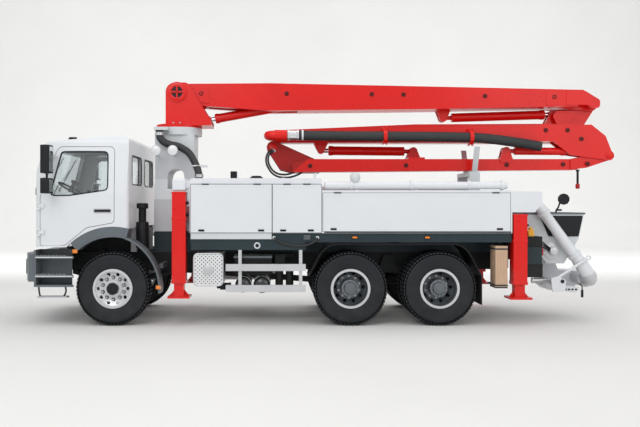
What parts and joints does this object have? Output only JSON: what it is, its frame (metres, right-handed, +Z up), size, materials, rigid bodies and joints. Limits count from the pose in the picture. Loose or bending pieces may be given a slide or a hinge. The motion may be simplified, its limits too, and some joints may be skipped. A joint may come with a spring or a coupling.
{
  "type": "concrete pump truck",
  "caption": "Three-axle concrete pump truck with a folding placing boom on a turret, sliding outriggers with legs, side bodies and a rear hopper.",
  "frame": {"origin": "on the ground at the middle of the length and width", "axes": "+X to the rear, +Y to the truck's right side, +Z up"},
  "size_m": [9.3998, 3.2, 3.845],
  "materials": {
    "red_paint": "gloss paint",
    "white_paint": "gloss paint",
    "grey_paint": "satin paint",
    "light_grey_paint": "satin paint",
    "blue_grey_paint": "satin paint",
    "chassis_black": "satin paint",
    "silver_paint": "silver paint",
    "bare_steel": "brushed",
    "chrome_rod": "polished",
    "tyre_rubber": "matte",
    "hose_rubber": "matte",
    "window_glass": "clear",
    "lamp_lens": "clear moulding",
    "black_plastic": "grained",
    "timber": "sawn"
  },
  "bodies": {
    "chassis": {"chassis_frame": "chassis_black", "support_frame": "blue_grey_paint", "axles": "chassis_black", "engine_block": "chassis_black", "cab_shell": "white_paint", "cab_glass": "window_glass", "cab_interior": "black_plastic", "front_bumper": "grey_paint", "lamps": "lamp_lens", "rear_mudguards": "black_plastic", "silencer": "bare_steel", "tanks": "bare_steel", "side_guards": "silver_paint", "pedestal": "light_grey_paint", "pump_body": "white_paint", "pump_unit": "grey_paint", "hopper": "grey_paint", "boom_rest": "light_grey_paint", "timber_blocks": "timber", "feed_hoses": "hose_rubber"},
    "wheel_front_left": {"tyre_front_left": "tyre_rubber", "rim_front_left": "silver_paint"},
    "wheel_mid_left": {"tyre_mid_left": "tyre_rubber", "rim_mid_left": "silver_paint"},
    "wheel_back_left": {"tyre_back_left": "tyre_rubber", "rim_back_left": "silver_paint"},
    "door_left": {"door_left": "white_paint", "door_glass_left": "window_glass"},
    "arm_front_left": {"arm_front_left": "red_paint"},
    "leg_front_left": {"leg_front_left": "red_paint"},
    "arm_rear_left": {"arm_rear_left": "red_paint"},
    "leg_rear_left": {"leg_rear_left": "red_paint"},
    "wheel_front_right": {"tyre_front_right": "tyre_rubber", "rim_front_right": "silver_paint"},
    "wheel_mid_right": {"tyre_mid_right": "tyre_rubber", "rim_mid_right": "silver_paint"},
    "wheel_back_right": {"tyre_back_right": "tyre_rubber", "rim_back_right": "silver_paint"},
    "door_right": {"door_right": "white_paint", "door_glass_right": "window_glass"},
    "arm_front_right": {"arm_front_right": "red_paint"},
    "leg_front_right": {"leg_front_right": "red_paint"},
    "arm_rear_right": {"arm_rear_right": "red_paint"},
    "leg_rear_right": {"leg_rear_right": "red_paint"},
    "boom_1": {"boom_1": "red_paint"},
    "boom_2": {"boom_2": "red_paint"},
    "boom_3": {"boom_3": "red_paint"},
    "knuckle_left": {"knuckle_left": "chassis_black"},
    "knuckle_right": {"knuckle_right": "chassis_black"},
    "turret": {"turret": "red_paint"},
    "boom_4": {"boom_4": "red_paint", "end_hose": "hose_rubber"},
    "barrel_a": {"barrel_a": "red_paint"},
    "rod_a": {"rod_a": "chrome_rod"},
    "barrel_b": {"barrel_b": "red_paint"},
    "rod_b": {"rod_b": "chrome_rod"},
    "barrel_c": {"barrel_c": "red_paint"},
    "rod_c": {"rod_c": "chrome_rod"},
    "barrel_d": {"barrel_d": "red_paint"},
    "rod_d": {"rod_d": "chrome_rod"}
  },
  "joints": [
    {"name": "steer_left", "type": "hinge", "parent": "chassis", "child": "knuckle_left", "pos_m": [-3.3, -0.88, 0.562], "axis": [0, 0, 1], "range_deg": [-35, 35]},
    {"name": "spin_front_left", "type": "hinge", "parent": "knuckle_left", "child": "wheel_front_left", "pos_m": [-3.3, -1.1, 0.562], "axis": [0, 1, 0], "continuous": true},
    {"name": "spin_mid_left", "type": "hinge", "parent": "chassis", "child": "wheel_mid_left", "pos_m": [0.3, -0.93, 0.562], "axis": [0, 1, 0], "continuous": true},
    {"name": "spin_back_left", "type": "hinge", "parent": "chassis", "child": "wheel_back_left", "pos_m": [1.65, -0.93, 0.562], "axis": [0, 1, 0], "continuous": true},
    {"name": "door_left_open", "type": "hinge", "parent": "chassis", "child": "door_left", "pos_m": [-4.4, -1.258, 1.62], "axis": [0, 0, -1], "range_deg": [0, 70]},
    {"name": "steer_right", "type": "hinge", "parent": "chassis", "child": "knuckle_right", "pos_m": [-3.3, 0.88, 0.562], "axis": [0, 0, 1], "range_deg": [-35, 35]},
    {"name": "spin_front_right", "type": "hinge", "parent": "knuckle_right", "child": "wheel_front_right", "pos_m": [-3.3, 1.1, 0.562], "axis": [0, 1, 0], "continuous": true},
    {"name": "spin_mid_right", "type": "hinge", "parent": "chassis", "child": "wheel_mid_right", "pos_m": [0.3, 0.93, 0.562], "axis": [0, 1, 0], "continuous": true},
    {"name": "spin_back_right", "type": "hinge", "parent": "chassis", "child": "wheel_back_right", "pos_m": [1.65, 0.93, 0.562], "axis": [0, 1, 0], "continuous": true},
    {"name": "door_right_open", "type": "hinge", "parent": "chassis", "child": "door_right", "pos_m": [-4.4, 1.258, 1.62], "axis": [0, 0, 1], "range_deg": [0, 70]},
    {"name": "arm_front_left_out", "type": "slide", "parent": "chassis", "child": "arm_front_left", "axis": [0, -1, 0], "range_m": [0, 1.2]},
    {"name": "leg_front_left_down", "type": "slide", "parent": "arm_front_left", "child": "leg_front_left", "axis": [0, 0, -1], "range_m": [0, 0.6]},
    {"name": "arm_front_right_out", "type": "slide", "parent": "chassis", "child": "arm_front_right", "axis": [0, 1, 0], "range_m": [0, 1.2]},
    {"name": "leg_front_right_down", "type": "slide", "parent": "arm_front_right", "child": "leg_front_right", "axis": [0, 0, -1], "range_m": [0, 0.6]},
    {"name": "arm_rear_left_out", "type": "slide", "parent": "chassis", "child": "arm_rear_left", "axis": [0, -1, 0], "range_m": [0, 1.2]},
    {"name": "leg_rear_left_down", "type": "slide", "parent": "arm_rear_left", "child": "leg_rear_left", "axis": [0, 0, -1], "range_m": [0, 0.6]},
    {"name": "arm_rear_right_out", "type": "slide", "parent": "chassis", "child": "arm_rear_right", "axis": [0, 1, 0], "range_m": [0, 1.2]},
    {"name": "leg_rear_right_down", "type": "slide", "parent": "arm_rear_right", "child": "leg_rear_right", "axis": [0, 0, -1], "range_m": [0, 0.6]},
    {"name": "turret_slew", "type": "hinge", "parent": "chassis", "child": "turret", "pos_m": [-2.45, 0, 3.105], "axis": [0, 0, 1], "range_deg": [-185, 185]},
    {"name": "boom_lift", "type": "hinge", "parent": "turret", "child": "boom_1", "pos_m": [-2.45, 0, 3.68], "axis": [0, -1, 0], "range_deg": [0, 90]},
    {"name": "fold_2", "type": "hinge", "parent": "boom_1", "child": "boom_2", "pos_m": [4.42, 0.11, 3.5], "axis": [0, -1, 0], "range_deg": [0, 180]},
    {"name": "fold_3", "type": "hinge", "parent": "boom_2", "child": "boom_3", "pos_m": [-0.878, 0.11, 2.79], "axis": [0, 1, 0], "range_deg": [0, 180]},
    {"name": "fold_4", "type": "hinge", "parent": "boom_3", "child": "boom_4", "pos_m": [4.62, -0.21, 2.64], "axis": [0, 1, 0], "range_deg": [0, 180]},
    {"name": "barrel_a_turn", "type": "hinge", "parent": "boom_1", "child": "barrel_a", "pos_m": [-0.599, 0, 3.5], "axis": [0, 1, 0], "range_deg": [0, 2.96]},
    {"name": "rod_a_stroke", "type": "slide", "parent": "barrel_a", "child": "rod_a", "axis": [-0.9839, 0, -0.1786], "range_m": [0, 0.9009]},
    {"name": "barrel_b_turn", "type": "hinge", "parent": "boom_1", "child": "barrel_b", "pos_m": [1.987, 0.11, 3.3], "axis": [0, 1, 0], "range_deg": [0, 11.56]},
    {"name": "rod_b_stroke", "type": "slide", "parent": "barrel_b", "child": "rod_b", "axis": [0.9995, 0, 0.0325], "range_m": [0, 0.5268]},
    {"name": "barrel_c_turn", "type": "hinge", "parent": "boom_3", "child": "barrel_c", "pos_m": [1.483, 0.11, 2.735], "axis": [0, 1, 0], "range_deg": [0, 20.64]},
    {"name": "rod_c_stroke", "type": "slide", "parent": "barrel_c", "child": "rod_c", "axis": [-1, 0, 0.0096], "range_m": [0, 0.6053]},
    {"name": "barrel_d_turn", "type": "hinge", "parent": "boom_3", "child": "barrel_d", "pos_m": [2.95, -0.21, 2.72], "axis": [0, -1, 0], "range_deg": [0, 16.7]},
    {"name": "rod_d_stroke", "type": "slide", "parent": "barrel_d", "child": "rod_d", "axis": [1, 0, -0.0063], "range_m": [0, 0.3469]}
  ],
  "couplings": [
    {"joint": "steer_right", "follows": "steer_left", "ratio": 1},
    {"joint": "turret_slew", "follows": "boom_lift", "ratio": 0.05},
    {"joint": "fold_2", "follows": "boom_lift", "ratio": 0.75},
    {"joint": "fold_3", "follows": "boom_lift", "ratio": 0.75},
    {"joint": "fold_4", "follows": "boom_lift", "ratio": 0.6},
    {"joint": "barrel_a_turn", "follows": "boom_lift", "ratio": 0.032731},
    {"joint": "rod_a_stroke", "follows": "boom_lift", "m_per_rad": 0.57319},
    {"joint": "barrel_b_turn", "follows": "boom_lift", "ratio": 0.1283},
    {"joint": "rod_b_stroke", "follows": "boom_lift", "m_per_rad": 0.33509},
    {"joint": "barrel_c_turn", "follows": "boom_lift", "ratio": 0.22924},
    {"joint": "rod_c_stroke", "follows": "boom_lift", "m_per_rad": 0.38504},
    {"joint": "barrel_d_turn", "follows": "boom_lift", "ratio": 0.1854},
    {"joint": "rod_d_stroke", "follows": "boom_lift", "m_per_rad": 0.22051}
  ]
}
